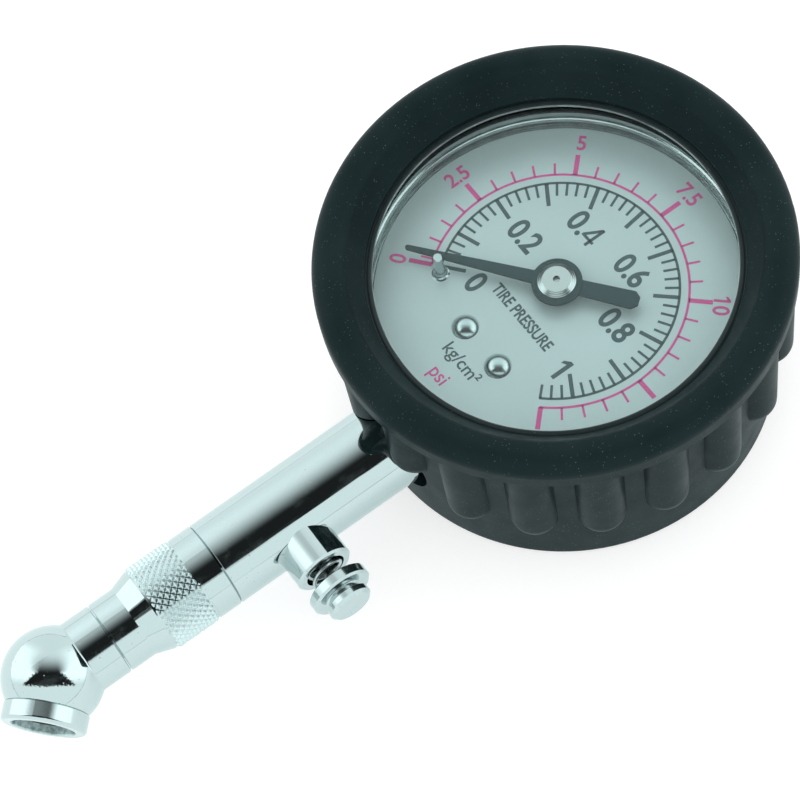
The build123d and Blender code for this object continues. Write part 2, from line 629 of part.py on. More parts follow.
# ------------------------------------------------------------ arm
with BuildPart() as arm_tube:
    edge = 0.15
    with BuildSketch(arm_plane(ARM_START)):
        Circle(ARM_R)
    extrude(amount=ARM_END - ARM_START)
    chamfer(arm_tube.edges().group_by(Axis.Y)[0], edge)
    with BuildSketch(BUTTON_SECTION):
        with BuildLine():
            Polyline(
                (0, 0),
                (0, BOSS_R),
                (BOSS_FACE - 0.3, BOSS_R),
                (BOSS_FACE, BOSS_R - 0.3),
                (BOSS_FACE, 0),
                close=True,
            )
        make_face()
    revolve(axis=BUTTON_AXIS)
    revolve(
        half_section(
            ARM_SECTION,
            (ARM_START, 0),
            (ARM_START, STEM_R + 0.05),
            (STEM_END + 0.95, STEM_R + 0.05),
            (STEM_END + 0.95, AIR_R),
            (SPIGOT_START - 0.3, AIR_R),
            (SPIGOT_START - 0.3, SPIGOT_R + 0.03),
            (ARM_END, SPIGOT_R + 0.03),
            (ARM_END, 0),
        ),
        axis=ARM_AXIS,
        mode=Mode.SUBTRACT,
    )
    revolve(
        half_section(
            BUTTON_SECTION,
            (0, 0),
            (0, 2.0),
            (SEAT_BACK, 2.0),
            (SEAT_BACK, BOSS_BORE_R),
            (BOSS_FACE, BOSS_BORE_R),
            (BOSS_FACE, 0),
        ),
        axis=BUTTON_AXIS,
        mode=Mode.SUBTRACT,
    )

with BuildPart() as bleed_seat:
    revolve(
        half_section(
            BUTTON_SECTION,
            (SEAT_BACK, 1.0),
            (SEAT_BACK, BOSS_BORE_R - TOUCH),
            (SEAT_FACE, BOSS_BORE_R - TOUCH),
            (SEAT_FACE, 1.0),
        ),
        axis=BUTTON_AXIS,
    )

with BuildPart() as bleed_seal:
    revolve(
        half_section(
            BUTTON_SECTION,
            (SEAT_BACK - 0.65, BLEED_STEM_R),
            (SEAT_BACK - 0.65, BLEED_FLANGE_R),
            (SEAT_BACK - TOUCH, BLEED_FLANGE_R),
            (SEAT_BACK - TOUCH, BLEED_STEM_R),
        ),
        axis=BUTTON_AXIS,
    )

with BuildPart() as bleed_stem:
    thread_depth = 1.4
    revolve(
        half_section(
            BUTTON_SECTION,
            (SEAT_BACK - 1.45, 0),
            (SEAT_BACK - 1.45, BLEED_FLANGE_R),
            (SEAT_BACK - 0.65, BLEED_FLANGE_R),
            (SEAT_BACK - 0.65, BLEED_STEM_R),
            (BUTTON_BACK + thread_depth, BLEED_STEM_R),
            (BUTTON_BACK + thread_depth, 0),
        ),
        axis=BUTTON_AXIS,
    )

with BuildPart() as release_button:
    revolve(
        half_section(
            BUTTON_SECTION,
            (BUTTON_BACK, BLEED_STEM_R),
            (BUTTON_BACK, BUTTON_FLANGE_R - 0.25),
            (BUTTON_BACK + 0.2, BUTTON_FLANGE_R),
            (BUTTON_BACK + 1.4, BUTTON_FLANGE_R),
            (BUTTON_BACK + 1.7, BUTTON_FLANGE_R - 0.3),
            (BUTTON_BACK + 1.75, 2.75),
            (BUTTON_BACK + 2.0, 2.5),
            (BUTTON_BACK + 2.3, 2.5),
            (BUTTON_BACK + 2.6, BUTTON_CAP_R - 0.1),
            (BUTTON_BACK + 2.7, BUTTON_CAP_R),
            (BUTTON_END - 0.45, BUTTON_CAP_R),
            (BUTTON_END, BUTTON_CAP_R - 0.45),
            (BUTTON_END, 0),
            (BUTTON_BACK + thread_depth, 0),
            (BUTTON_BACK + thread_depth, BLEED_STEM_R),
        ),
        axis=BUTTON_AXIS,
    )

with BuildPart() as button_spring:
    spring_start = SEAT_FACE + TOUCH
    spring_length = BUTTON_BACK - TOUCH - spring_start
    with Locations(Plane(origin=(spring_start, BUTTON_Y, ARM_Z), z_dir=(1, 0, 0))):
        add(coil(BUTTON_SPRING_R, BUTTON_WIRE_R, spring_length, BUTTON_SPRING_TURNS))

# ------------------------------------------------------------ knurled sleeve
VALVE_SHOULDER = 55.6
O_RING_MIDDLE = 57.0

with BuildPart() as knurled_sleeve:
    revolve(
        half_section(
            ARM_SECTION,
            (SPIGOT_START, AIR_R),
            (SPIGOT_START, SPIGOT_R),
            (O_RING_MIDDLE - 0.5, SPIGOT_R),
            (O_RING_MIDDLE - 0.5, SPIGOT_R - 0.85),
            (O_RING_MIDDLE + 0.5, SPIGOT_R - 0.85),
            (O_RING_MIDDLE + 0.5, SPIGOT_R),
            (SLEEVE_START, SPIGOT_R),
            (SLEEVE_START, ARM_R - 0.15),
            (SLEEVE_START + 0.15, ARM_R),
            (KNURL_START, ARM_R),
            (KNURL_START, KNURL_ROOT_R),
            (KNURL_END, KNURL_ROOT_R),
            (KNURL_END, ARM_R - 0.08),
            (CONE_END, NECK_R),
            (SLEEVE_END - 0.15, NECK_R),
            (SLEEVE_END, NECK_R - 0.15),
            (SLEEVE_END, SPINDLE_BORE_R),
            (CLIP_GROOVE_END, SPINDLE_BORE_R),
            (CLIP_GROOVE_END, SPINDLE_BORE_R + 0.65),
            (CLIP_GROOVE_START, SPINDLE_BORE_R + 0.65),
            (CLIP_GROOVE_START, SPINDLE_BORE_R),
            (SPINDLE_START - 0.1, SPINDLE_BORE_R),
            (SPINDLE_START - 0.1, PASSAGE_R),
            (VALVE_SHOULDER, PASSAGE_R),
            (VALVE_SHOULDER, AIR_R),
        ),
        axis=ARM_AXIS,
    )

with BuildPart() as sleeve_o_ring:
    with BuildSketch(ARM_SECTION):
        with Locations((O_RING_MIDDLE, SPIGOT_R - 0.42)):
            Circle(0.4)
    revolve(axis=ARM_AXIS)

# Hold valve: lets air in to the gauge and keeps it there until the button lets it out
with BuildPart() as hold_valve_seal:
    with BuildSketch(arm_plane(VALVE_SHOULDER - 0.65)):
        Circle(AIR_R - 0.03)
        Circle(0.9, mode=Mode.SUBTRACT)
    extrude(amount=0.63)

with BuildPart() as hold_valve_poppet:
    guide_r, disc_front, disc_thick = 0.55, VALVE_SHOULDER - 0.67, 0.93
    revolve(
        half_section(
            ARM_SECTION,
            (SPIGOT_START - 0.7, 0),
            (SPIGOT_START - 0.7, guide_r),
            (disc_front - disc_thick, guide_r),
            (disc_front - disc_thick, 1.8),
            (disc_front, 1.8),
            (disc_front, 0),
        ),
        axis=ARM_AXIS,
    )

with BuildPart() as hold_valve_cage:
    cage_start, cage_thick = SPIGOT_START + 0.1, 0.6
    with BuildSketch(arm_plane(cage_start)):
        Circle(AIR_R - 0.03)
        Circle(guide_r + 0.06, mode=Mode.SUBTRACT)
        with PolarLocations(1.95, 4):
            Circle(0.4, mode=Mode.SUBTRACT)
    extrude(amount=cage_thick)

with BuildPart() as hold_valve_spring:
    hold_spring_start = cage_start + cage_thick + TOUCH
    hold_spring_length = disc_front - disc_thick - TOUCH - hold_spring_start
    with Locations(arm_plane(hold_spring_start)):
        add(coil(mean_r=1.2, wire_r=0.18, length=hold_spring_length, turns=3))

# ------------------------------------------------------------ swivelling chuck
SPINDLE_GROOVE = 69.5

with BuildPart() as swivel_spindle:
    revolve(
        half_section(
            ARM_SECTION,
            (SPINDLE_START, PASSAGE_R),
            (SPINDLE_START, SPINDLE_R),
            (CLIP_GROOVE_START + 0.1, SPINDLE_R),
            (CLIP_GROOVE_START + 0.1, 2.75),
            (CLIP_GROOVE_END - 0.1, 2.75),
            (CLIP_GROOVE_END - 0.1, SPINDLE_R),
            (SPINDLE_GROOVE - 0.6, SPINDLE_R),
            (SPINDLE_GROOVE - 0.6, 2.5),
            (SPINDLE_GROOVE + 0.6, 2.5),
            (SPINDLE_GROOVE + 0.6, SPINDLE_R),
            (CHUCK_START - TOUCH, SPINDLE_R),
            (CHUCK_START - TOUCH, 2.98),
            (SPINDLE_END, 2.98),
            (SPINDLE_END, PASSAGE_R),
        ),
        axis=ARM_AXIS,
    )

with BuildPart() as retaining_clip:
    with BuildSketch(arm_plane(CLIP_GROOVE_START + 0.2)):
        Circle(3.8)
        Circle(2.78, mode=Mode.SUBTRACT)
        with Locations((0, 3)):
            Rectangle(2.4, 4, mode=Mode.SUBTRACT)
    extrude(amount=0.5)

with BuildPart() as swivel_o_ring:
    with BuildSketch(ARM_SECTION):
        with Locations((SPINDLE_GROOVE, 2.89)):
            Circle(0.37)
    revolve(axis=ARM_AXIS)

with BuildPart() as chuck_head:
    ball_join = BALL_CENTRE - sqrt(BALL_R**2 - NECK_R**2)
    with BuildSketch(ARM_SECTION):
        with BuildLine():
            Polyline(
                (CHUCK_START, 0),
                (CHUCK_START, NECK_R - 0.15),
                (CHUCK_START + 0.15, NECK_R),
                (ball_join, NECK_R),
            )
            ThreePointArc((ball_join, NECK_R), (BALL_CENTRE, BALL_R), (BALL_CENTRE + BALL_R, 0))
            Line((BALL_CENTRE + BALL_R, 0), (CHUCK_START, 0))
        make_face()
        fillet(vertices().sort_by_distance((ball_join, NECK_R))[0], 0.4)
    revolve(axis=ARM_AXIS)
    with BuildSketch(mouth_plane(MOUTH_RING_START - 0.05)):
        Circle(BALL_R)
    extrude(amount=BALL_R, mode=Mode.SUBTRACT)
    with BuildSketch(mouth_plane(MOUTH_BORE_START)):
        Circle(MOUTH_SPIGOT_R)
    extrude(amount=SPIGOT_END - MOUTH_BORE_START)
    revolve(
        half_section(
            MOUTH_SECTION,
            (-2.4, 0),
            (-2.4, 2.2),
            (0.8, 2.2),
            (0.8, 4.45),
            (MOUTH_BORE_START, 4.45),
            (MOUTH_BORE_START, MOUTH_BORE_R),
            (SPIGOT_END, MOUTH_BORE_R),
            (SPIGOT_END, 0),
        ),
        axis=MOUTH_AXIS,
        mode=Mode.SUBTRACT,
    )
    with BuildSketch(arm_plane(CHUCK_START)):
        Circle(3.0)
    extrude(amount=SPINDLE_END + 0.1 - CHUCK_START, mode=Mode.SUBTRACT)
    with BuildSketch(arm_plane(SPINDLE_END)):
        Circle(PASSAGE_R)
    extrude(amount=BALL_CENTRE - 1.0 - SPINDLE_END, mode=Mode.SUBTRACT)

with BuildPart() as mouth_ring:
    with BuildSketch(MOUTH_SECTION):
        with BuildLine():
            Polyline(
                (SPIGOT_END + TOUCH, MOUTH_SPIGOT_R + TOUCH),
                (MOUTH_RING_START, MOUTH_SPIGOT_R + TOUCH),
                (MOUTH_RING_START, MOUTH_RING_R - 0.15),
                (MOUTH_RING_START + 0.15, MOUTH_RING_R),
                (MOUTH_RING_END - 0.55, MOUTH_RING_R),
            )
            ThreePointArc(
                (MOUTH_RING_END - 0.55, MOUTH_RING_R),
                (MOUTH_RING_END - 0.16, MOUTH_RING_R - 0.16),
                (MOUTH_RING_END, MOUTH_RING_R - 0.55),
            )
            Polyline(
                (MOUTH_RING_END, MOUTH_RING_R - 0.55),
                (MOUTH_RING_END, MOUTH_BORE_R + 0.2),
                (MOUTH_RING_END - 0.2, MOUTH_BORE_R),
                (SPIGOT_END + TOUCH, MOUTH_BORE_R),
                (SPIGOT_END + TOUCH, MOUTH_SPIGOT_R + TOUCH),
            )
        make_face()
    revolve(axis=MOUTH_AXIS)

with BuildPart() as chuck_gasket:
    revolve(
        half_section(MOUTH_SECTION, (0.82, 1.5), (0.82, 4.42), (1.98, 4.42), (1.98, 1.9), (1.7, 1.5)),
        axis=MOUTH_AXIS,
    )

with BuildPart() as depressor_pin:
    revolve(
        half_section(
            MOUTH_SECTION,
            (-2.38, 0),
            (-2.38, 2.17),
            (-1.7, 2.17),
            (-1.7, 0.8),
            (1.7, 0.8),
            (1.95, 0.5),
            (1.95, 0),
        ),
        axis=MOUTH_AXIS,
    )
    with BuildSketch(mouth_plane(-2.38)):
        with PolarLocations(1.5, 3):
            Circle(0.45)
    extrude(amount=0.7, mode=Mode.SUBTRACT)

# ------------------------------------------------------------ export
pieces = {
    "rubber_boot": rubber_boot,
    "case_cup": case_cup,
    "bezel_ring": bezel_ring,
    "lens_gasket": lens_gasket,
    "lens": lens,
    "dial_plate": dial_plate,
    "dial_screws": dial_screws,
    "stop_pin": stop_pin,
    "pointer": pointer,
    "pointer_cap": pointer_cap,
    "pinion_arbor": pinion_arbor,
    "sector_gear": sector_gear,
    "sector_arbor": sector_arbor,
    "tail_pin": tail_pin,
    "connecting_link": connecting_link,
    "hairspring_collet": hairspring_collet,
    "hairspring": hairspring,
    "hairspring_stud": hairspring_stud,
    "movement_lower_plate": movement_lower_plate,
    "movement_upper_plate": movement_upper_plate,
    "movement_pillars": movement_pillars,
    "pillar_screws": pillar_screws,
    "movement_screws": movement_screws,
    "bourdon_tube": bourdon_tube,
    "tube_tip": tube_tip,
    "tip_pin": tip_pin,
    "socket_block": socket_block,
    "case_screws": case_screws,
    "stem_washer": stem_washer,
    "arm_tube": arm_tube,
    "bleed_seat": bleed_seat,
    "bleed_seal": bleed_seal,
    "bleed_stem": bleed_stem,
    "release_button": release_button,
    "button_spring": button_spring,
    "knurled_sleeve": knurled_sleeve,
    "sleeve_o_ring": sleeve_o_ring,
    "hold_valve_seal": hold_valve_seal,
    "hold_valve_poppet": hold_valve_poppet,
    "hold_valve_cage": hold_valve_cage,
    "hold_valve_spring": hold_valve_spring,
    "swivel_spindle": swivel_spindle,
    "retaining_clip": retaining_clip,
    "swivel_o_ring": swivel_o_ring,
    "chuck_head": chuck_head,
    "mouth_ring": mouth_ring,
    "chuck_gasket": chuck_gasket,
    "depressor_pin": depressor_pin,
}
for name, piece in pieces.items():
    piece.part.label = name
    export_step(piece.part, f"parts/{name}.step")
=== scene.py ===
import json
from math import cos, pi, radians, sin

import bpy
import numpy as np
from mathutils import Matrix, Vector

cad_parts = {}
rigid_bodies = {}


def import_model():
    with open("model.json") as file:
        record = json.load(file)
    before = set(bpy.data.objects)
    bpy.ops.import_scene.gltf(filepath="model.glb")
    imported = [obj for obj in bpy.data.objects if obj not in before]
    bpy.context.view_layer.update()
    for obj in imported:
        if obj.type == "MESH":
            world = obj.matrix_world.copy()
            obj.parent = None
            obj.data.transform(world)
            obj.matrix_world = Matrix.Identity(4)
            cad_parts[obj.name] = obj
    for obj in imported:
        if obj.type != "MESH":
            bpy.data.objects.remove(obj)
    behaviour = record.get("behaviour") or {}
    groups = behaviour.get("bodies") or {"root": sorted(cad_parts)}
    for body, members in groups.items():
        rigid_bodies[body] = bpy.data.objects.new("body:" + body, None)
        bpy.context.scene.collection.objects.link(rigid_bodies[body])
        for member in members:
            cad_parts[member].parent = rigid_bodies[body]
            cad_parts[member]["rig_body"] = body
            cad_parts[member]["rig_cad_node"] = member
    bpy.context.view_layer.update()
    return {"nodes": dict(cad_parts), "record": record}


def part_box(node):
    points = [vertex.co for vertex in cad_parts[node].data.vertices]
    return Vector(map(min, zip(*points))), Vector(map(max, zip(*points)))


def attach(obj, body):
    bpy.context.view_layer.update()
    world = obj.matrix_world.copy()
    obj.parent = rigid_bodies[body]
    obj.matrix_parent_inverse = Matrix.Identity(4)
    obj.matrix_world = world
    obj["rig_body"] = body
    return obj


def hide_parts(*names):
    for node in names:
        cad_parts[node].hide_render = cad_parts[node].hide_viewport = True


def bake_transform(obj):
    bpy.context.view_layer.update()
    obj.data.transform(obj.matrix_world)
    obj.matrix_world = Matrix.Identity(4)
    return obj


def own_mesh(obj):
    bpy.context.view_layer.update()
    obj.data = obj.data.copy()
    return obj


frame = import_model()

MM = 0.001
NODES = frame["nodes"]


# ------------------------------------------------------------ placing
def height_of(node):
    """Top of a CAD node, in millimetres."""
    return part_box(node)[1].z / MM


# Millimetres. Ink stands a little proud of the dial and is sunk into it, so that no gap shows.
DIAL_TOP = height_of("dial_plate")
INK_THICK, INK_SUNK = 0.012, 0.01
ARM_Z = 12.38


def polar(radius, angle, centre=(0.0, 0.0)):
    """Point at a radius and an angle in degrees round a centre."""
    return (
        centre[0] + radius * cos(radians(angle)),
        centre[1] + radius * sin(radians(angle)),
    )


def mesh_piece(name, vertices, faces, body, smooth=False):
    """A mesh object from millimetre vertices, riding on a CAD body."""
    mesh = bpy.data.meshes.new(name)
    mesh.from_pydata([tuple(c * MM for c in v) for v in vertices], [], faces)
    mesh.validate()
    if smooth:
        mesh.shade_smooth()
    piece = bpy.data.objects.new(name, mesh)
    bpy.context.scene.collection.objects.link(piece)
    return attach(piece, body)


# ------------------------------------------------------------ material building
RANGE_SOCKETS = ("From Min", "From Max", "To Min", "To Max")
MIX_A, MIX_B, MIX_RESULT = 6, 7, 2  # the Mix node's sockets for colour


class Nodes:
    """Short names for building one material's node tree."""

    def __init__(self, name):
        self.material = bpy.data.materials.new(name)
        self.material.use_nodes = True
        self.tree = self.material.node_tree
        self.tree.nodes.clear()
        self.output = self.tree.nodes.new("ShaderNodeOutputMaterial")
        self.place = self.tree.nodes.new("ShaderNodeTexCoord").outputs["Object"]

    def link(self, source, target):
        self.tree.links.new(source, target)

    def node(self, kind, **values):
        made = self.tree.nodes.new("ShaderNode" + kind)
        for key, value in values.items():
            setattr(made, key, value)
        return made

    def stretched(self, scale):
        """Object coordinates scaled by a different amount along each axis."""
        mapping = self.node("Mapping")
        mapping.inputs["Scale"].default_value = scale
        self.link(self.place, mapping.inputs["Vector"])
        return mapping.outputs["Vector"]

    def noise(self, per_metre, detail=3.0, place=None, rough=0.5):
        made = self.node("TexNoise")
        made.inputs["Scale"].default_value = per_metre
        made.inputs["Detail"].default_value = detail
        made.inputs["Roughness"].default_value = rough
        self.link(place or self.place, made.inputs["Vector"])
        return made.outputs["Fac"]

    def cells(self, per_metre, output="Distance"):
        made = self.node("TexVoronoi")
        made.inputs["Scale"].default_value = per_metre
        self.link(self.place, made.inputs["Vector"])
        return made.outputs[output]

    def remap(self, value, low, high, to_low=0.0, to_high=1.0):
        made = self.node("MapRange")
        for key, number in zip(RANGE_SOCKETS, (low, high, to_low, to_high)):
            made.inputs[key].default_value = number
        self.link(value, made.inputs["Value"])
        return made.outputs["Result"]

    def math(self, operation, a, b):
        made = self.node("Math", operation=operation)
        for socket, value in zip(made.inputs, (a, b)):
            if isinstance(value, (int, float)):
                socket.default_value = value
            else:
                self.link(value, socket)
        return made.outputs["Value"]

    def blend(self, factor, colour_a, colour_b):
        made = self.node("Mix", data_type="RGBA")
        self.link(factor, made.inputs["Factor"])
        for socket, value in ((made.inputs[MIX_A], colour_a), (made.inputs[MIX_B], colour_b)):
            if isinstance(value, tuple):
                socket.default_value = (*value, 1)
            else:
                self.link(value, socket)
        return made.outputs[MIX_RESULT]

    def bump(self, height, depth_mm, strength=1.0, below=None):
        made = self.node("Bump")
        made.inputs["Strength"].default_value = strength
        made.inputs["Distance"].default_value = depth_mm * MM
        self.link(height, made.inputs["Height"])
        if below is not None:
            self.link(below, made.inputs["Normal"])
        return made.outputs["Normal"]

    def surface(self, colour, roughness, normal=None, **plain):
        """The Principled shader; what isn't colour, roughness or normal is a plain value."""
        shader = self.shader = self.node("BsdfPrincipled")
        if isinstance(colour, tuple):
            shader.inputs["Base Color"].default_value = (*colour, 1)
        else:
            self.link(colour, shader.inputs["Base Color"])
        if isinstance(roughness, (int, float)):
            shader.inputs["Roughness"].default_value = roughness
        else:
            self.link(roughness, shader.inputs["Roughness"])
        if normal is not None:
            self.link(normal, shader.inputs["Normal"])
        for key, value in plain.items():
            shader.inputs[key.replace("_", " ")].default_value = value
        self.link(shader.outputs["BSDF"], self.output.inputs["Surface"])
        return self.material


RUBBER_TINT = (0.6, 0.98, 1, 1)
DUST_COLOUR = (0.15, 0.2, 0.2)


def rubber_material(name, dark, pale, dust):
    """Moulded rubber: faint mottling, fine grain and, where dust is above 0, pale dust specks."""
    n = Nodes(name)
    mottle = n.noise(90, 4)
    colour = n.blend(n.remap(mottle, 0.3, 0.7), dark, pale)
    if dust > 0:
        patches = n.remap(n.noise(60, 3), 0.3, 0.6, 0.25, 1.0)
        fine = n.remap(n.cells(2100), 0.07, 0.17, 1.0, 0.0)
        keep = n.remap(n.noise(700, 1), 0.42, 0.56)
        specks = n.math("MULTIPLY", n.math("MULTIPLY", fine, keep), patches)
        colour = n.blend(n.math("MULTIPLY", specks, dust), colour, DUST_COLOUR)
    roughness = n.remap(n.noise(300, 4), 0.3, 0.7, 0.33, 0.42)
    grain = n.bump(n.noise(5200, 2), 0.008, 0.55)
    waves = n.bump(n.noise(160, 2), 0.05, 0.25, below=grain)
    return n.surface(colour, roughness, waves, Specular_IOR_Level=0.045, Specular_Tint=RUBBER_TINT)


def chrome_material(name, tint, rough, ripple):
    """Plating with a slight ripple, light smears, a thin haze and a scatter of tiny pits."""
    n = Nodes(name)
    smear = n.noise(120, 5, rough=0.6)
    pits = n.remap(n.cells(1100), 0.04, 0.12, 1.0, 0.0)
    pits = n.math("MULTIPLY", pits, n.remap(n.noise(300, 1), 0.52, 0.57, 0.0, 0.8))
    drawn = n.noise(420, 5, place=n.stretched((1, 0.45, 1)), rough=0.7)
    haze = n.remap(drawn, 0.48, 0.72, 0.0, 0.07)
    colour = n.blend(pits, tint, tuple(0.6 * c for c in tint))
    roughness = n.remap(smear, 0.35, 0.7, rough, rough + 0.05)
    wavy = n.bump(n.noise(210, 2), ripple, 0.35)
    pitted = n.bump(pits, -0.02, 0.6, below=wavy)
    n.surface(colour, roughness, pitted)
    n.link(n.math("SUBTRACT", 1.0, n.math("ADD", pits, haze)), n.shader.inputs["Metallic"])
    return n.material


def mouth_material(name, tint, centre, axis, bore_r):
    """Satin plating outside, and a bare bore inside a radius round the mouth's axis, painted pale
    and mottled to stand in for light inside the mouth.
    """
    n = Nodes(name)
    offset = n.node("VectorMath", operation="SUBTRACT")
    offset.inputs[1].default_value = centre
    n.link(n.place, offset.inputs[0])
    across = n.node("VectorMath", operation="CROSS_PRODUCT")
    across.inputs[1].default_value = axis
    n.link(offset.outputs["Vector"], across.inputs[0])
    radius = n.node("VectorMath", operation="LENGTH")
    n.link(across.outputs["Vector"], radius.inputs[0])
    bore = n.remap(radius.outputs["Value"], (bore_r + 0.1) * MM, (bore_r + 0.2) * MM, 1.0, 0.0)
    # The bore's pale, mottled colour is painted light: it stands in for light falling inside the
    # mouth.
    bore_light_mottle = n.remap(n.noise(750, 5, rough=0.65), 0.38, 0.6)
    painted_bore_light = n.blend(bore_light_mottle, (0.2, 0.27, 0.27), (0.62, 0.74, 0.74))
    colour = n.blend(bore, tint, painted_bore_light)
    roughness = n.remap(n.math("ADD", n.noise(120, 5), bore), 0.35, 1.5, 0.11, 0.6)
    n.surface(colour, roughness, n.bump(n.noise(900, 3), 0.02, 0.4))
    n.link(n.math("SUBTRACT", 1.0, n.math("MULTIPLY", bore, 0.8)), n.shader.inputs["Metallic"])
    return n.material


def machined_material(name, tint, rough, lines, stretch=(1, 1, 1)):
    """Turned or drawn metal with fine tool lines along the axes that stretch leaves at 1."""
    n = Nodes(name)
    streaks = n.noise(lines, 3, place=n.stretched(stretch))
    colour = n.blend(n.remap(streaks, 0.3, 0.7), tuple(0.82 * c for c in tint), tint)
    roughness = n.remap(streaks, 0.25, 0.75, rough - 0.06, rough + 0.08)
    normal = n.bump(streaks, 0.01, 0.5)
    return n.surface(colour, roughness, normal, Metallic=1.0)


def bezel_material(name, enamel, metal, edge_mm):
    """Dark enamel with faint specks, and bright metal inside a radius round the dial's axis."""
    n = Nodes(name)
    flat = n.node("VectorMath", operation="LENGTH")
    n.link(n.stretched((1, 1, 0)), flat.inputs[0])
    wander = n.math("MULTIPLY", n.noise(260, 3), 0.16 * MM)
    radius = n.math("ADD", flat.outputs["Value"], wander)
    bare = n.remap(radius, edge_mm * MM, (edge_mm + 0.12) * MM, 1.0, 0.0)
    mottle = n.remap(n.noise(700, 4), 0.3, 0.7)
    dots = n.remap(n.cells(1100), 0.04, 0.12, 1.0, 0.0)
    dots = n.math("MULTIPLY", dots, n.remap(n.noise(300, 1), 0.5, 0.56))
    coat = n.blend(mottle, tuple(0.8 * c for c in enamel), enamel)
    coat = n.blend(n.math("MULTIPLY", dots, 0.6), coat, tuple(5 * c for c in enamel))
    colour = n.blend(bare, coat, metal)
    roughness = n.remap(bare, 0, 1, 0.4, 0.12)
    n.surface(colour, roughness, n.bump(n.noise(1500, 2), 0.006, 0.4), Specular_IOR_Level=0.3)
    n.link(bare, n.shader.inputs["Metallic"])
    return n.material


def turned_material(name, tint, rough):
    """Metal faced in a lathe round the dial's axis, with fine rings."""
    n = Nodes(name)
    rings = n.node("TexWave", wave_type="RINGS", rings_direction="Z")
    rings.inputs["Scale"].default_value = 1300
    rings.inputs["Distortion"].default_value = 1.2
    rings.inputs["Detail"].default_value = 2
    n.link(n.place, rings.inputs["Vector"])
    fac = rings.outputs["Fac"]
    colour = n.blend(fac, tuple(0.86 * c for c in tint), tint)
    roughness = n.remap(fac, 0, 1, rough, rough + 0.08)
    return n.surface(colour, roughness, n.bump(fac, 0.006, 0.5), Metallic=1.0)


def paint_material(name, colour, rough, flake=0.0, speck=0.3, shine=0.5):
    """Sprayed paint: slight mottling, orange peel and a few dark specks."""
    n = Nodes(name)
    mottle = n.noise(60, 4)
    shade = n.blend(n.remap(mottle, 0.3, 0.7), tuple(0.94 * c for c in colour), colour)
    dots = n.remap(n.cells(420), 0.02, 0.05, 1.0, 0.0)
    dots = n.math("MULTIPLY", dots, n.remap(n.noise(150, 1), 0.62, 0.64))
    shade = n.blend(n.math("MULTIPLY", dots, speck), shade, tuple(0.4 * c for c in colour))
    roughness = n.remap(n.noise(900, 3), 0.3, 0.7, rough - 0.05, rough + 0.05)
    peel = n.bump(n.noise(1800, 2), 0.006, 0.4)
    return n.surface(shade, roughness, peel, Metallic=flake, Specular_IOR_Level=shine)


def ink_material(name, colour):
    """Screen-printed ink, slightly uneven."""
    n = Nodes(name)
    shade = n.blend(n.remap(n.noise(700, 4), 0.3, 0.7), tuple(0.88 * c for c in colour), colour)
    roughness = n.remap(n.noise(1500, 2), 0.3, 0.7, 0.4, 0.55)
    return n.surface(shade, roughness, n.bump(n.noise(2500, 2), 0.004, 0.4))


def lens_material(name):
    """Clear lens: a faint mirror over a see-through sheet, with light wipe marks."""
    n = Nodes(name)
    clear = n.node("BsdfTransparent")
    clear.inputs["Color"].default_value = (0.955, 0.985, 0.98, 1)
    gloss = n.node("BsdfGlossy")
    gloss.inputs["Color"].default_value = (1, 1, 1, 1)
    n.link(n.remap(n.noise(70, 5), 0.4, 0.75, 0.02, 0.07), gloss.inputs["Roughness"])
    facing = n.node("LayerWeight")
    facing.inputs["Blend"].default_value = 0.5
    mirror = n.remap(n.math("POWER", facing.outputs["Facing"], 5.0), 0, 1, 0.025, 1.0)
    mix = n.node("MixShader")
    n.link(mirror, mix.inputs["Fac"])
    n.link(clear.outputs["BSDF"], mix.inputs[1])
    n.link(gloss.outputs["BSDF"], mix.inputs[2])
    n.link(mix.outputs["Shader"], n.output.inputs["Surface"])
    return n.material


CHROME_TINT = (0.535, 0.61, 0.61)
BEZEL_EDGE_R = 24.22  # mm from the dial's axis to where the enamel gives way to bare metal
BOOT_RUBBER = rubber_material(
    "boot_rubber_look", (0.008, 0.0145, 0.0155), (0.012, 0.0205, 0.0217), 0.7
)
SEAL_RUBBER = rubber_material("seal_rubber_look", (0.012, 0.013, 0.013), (0.02, 0.021, 0.021), 0)
ARM_CHROME = chrome_material("arm_chrome_look", CHROME_TINT, 0.025, 0.03)
SATIN_CHROME = chrome_material("satin_chrome_look", CHROME_TINT, 0.12, 0.03)
BEZEL_ENAMEL = bezel_material(
    "bezel_enamel_look", (0.022, 0.032, 0.033), (0.6, 0.64, 0.635), BEZEL_EDGE_R
)
KNURL_CHROME = chrome_material("knurl_chrome_look", (0.66, 0.76, 0.76), 0.27, 0.02)
SCREW_STEEL = chrome_material("screw_steel_look", CHROME_TINT, 0.2, 0.01)
CAP_STEEL = turned_material("cap_steel_look", (0.6, 0.64, 0.635), 0.2)
CASE_STEEL = machined_material("case_steel_look", (0.56, 0.61, 0.605), 0.16, 1500, (0.3, 0.3, 1))
PLAIN_STEEL = machined_material("plain_steel_look", (0.5, 0.53, 0.53), 0.25, 1500, (0.3, 1, 1))
